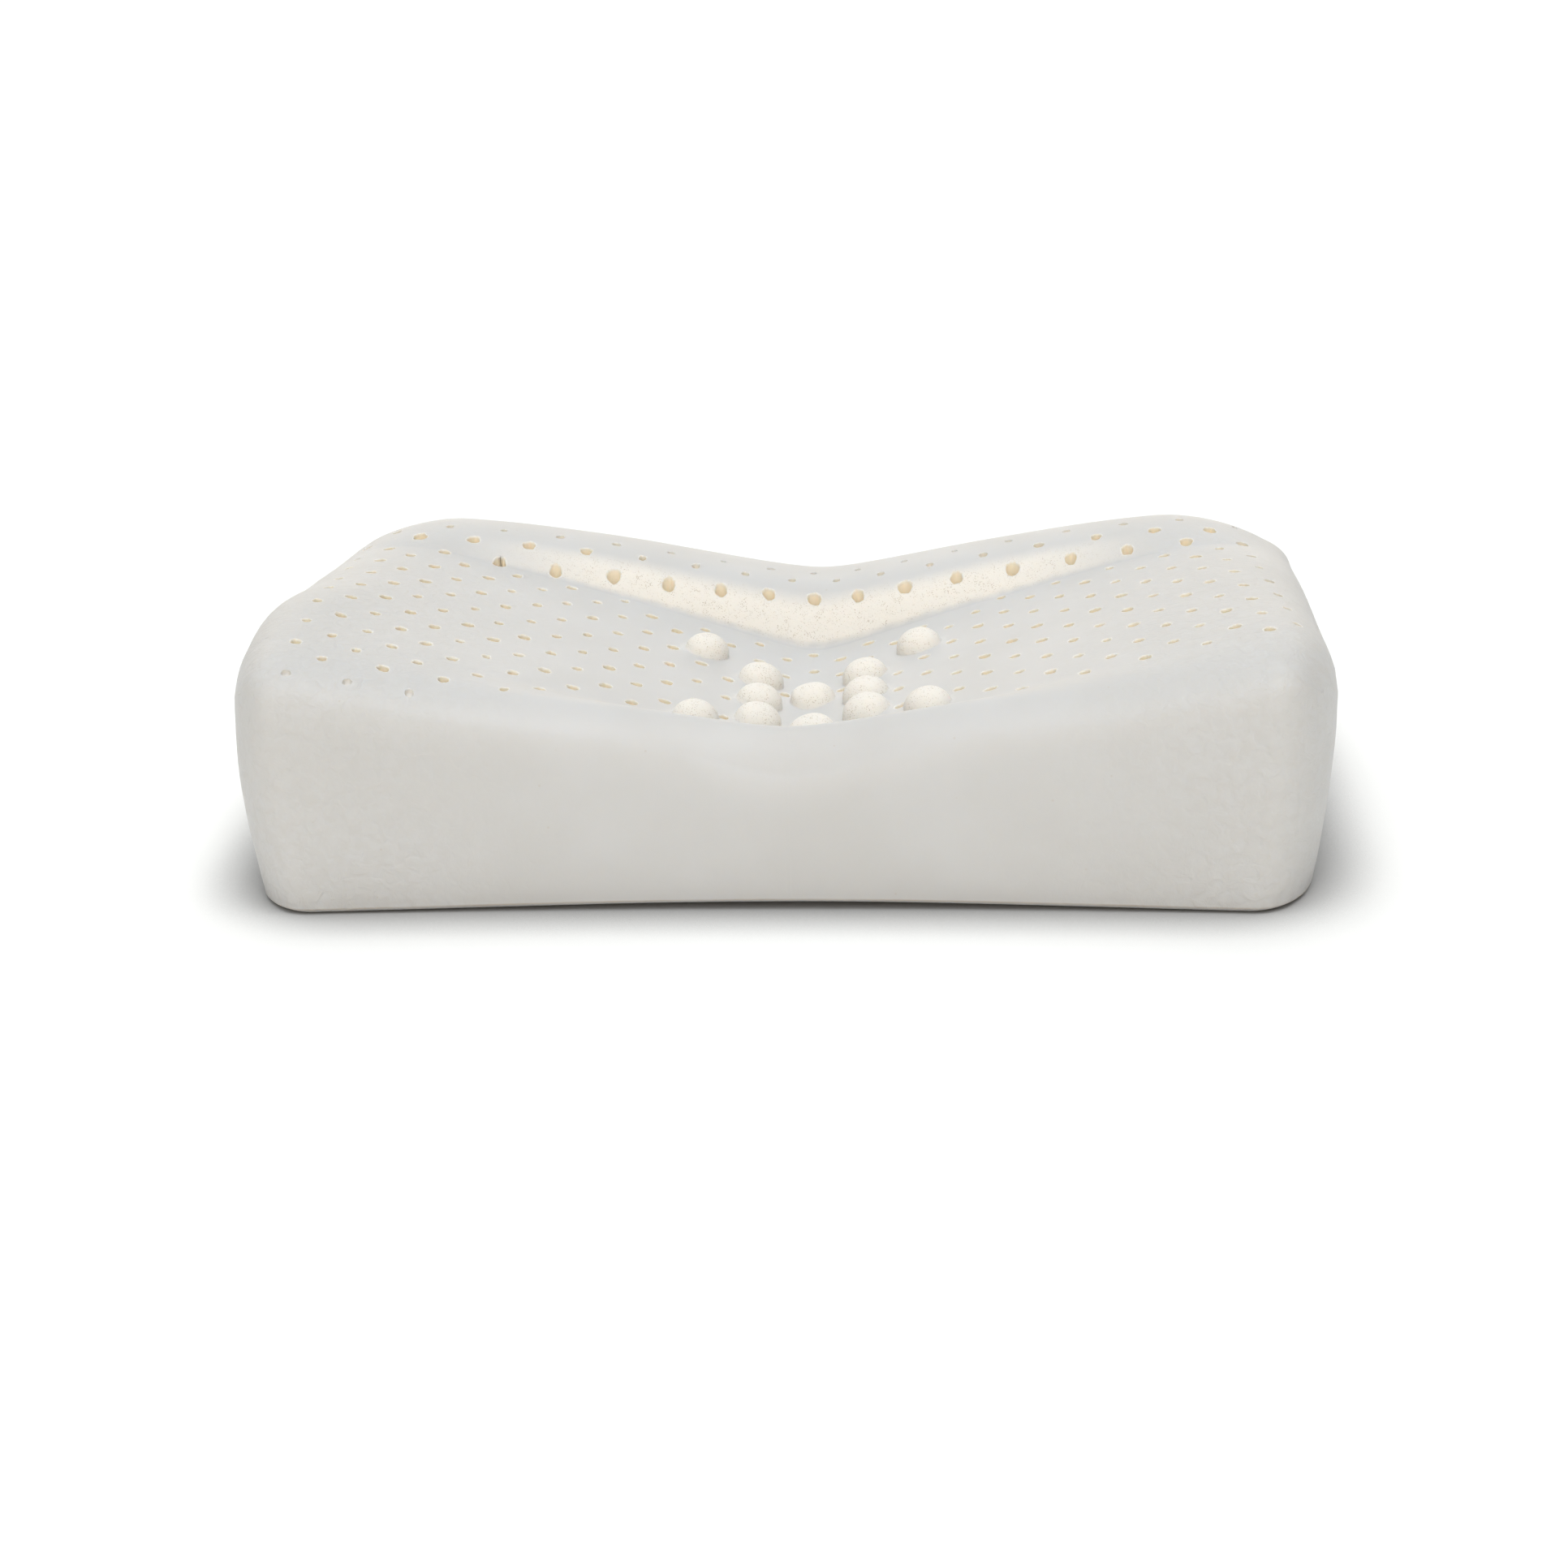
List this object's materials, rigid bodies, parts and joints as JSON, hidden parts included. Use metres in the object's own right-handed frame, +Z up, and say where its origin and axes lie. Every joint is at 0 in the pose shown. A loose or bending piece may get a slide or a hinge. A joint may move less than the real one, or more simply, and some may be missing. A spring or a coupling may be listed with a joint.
{
  "type": "latex travel pillow",
  "caption": "Contoured one-piece latex foam travel pillow with a V-shaped dip, raised back ridge, front lip, massage nubs and pin holes.",
  "frame": {"origin": "centre of the outline at the flat underside", "axes": "+X along the pillow, +Y from the lip at the front towards the ridge at the back, +Z up"},
  "size_m": [0.4, 0.236, 0.0953],
  "materials": {
    "latex_foam": "matt moulded foam skin"
  },
  "bodies": {
    "root": {"foam_pillow": "latex_foam"}
  },
  "joints": []
}
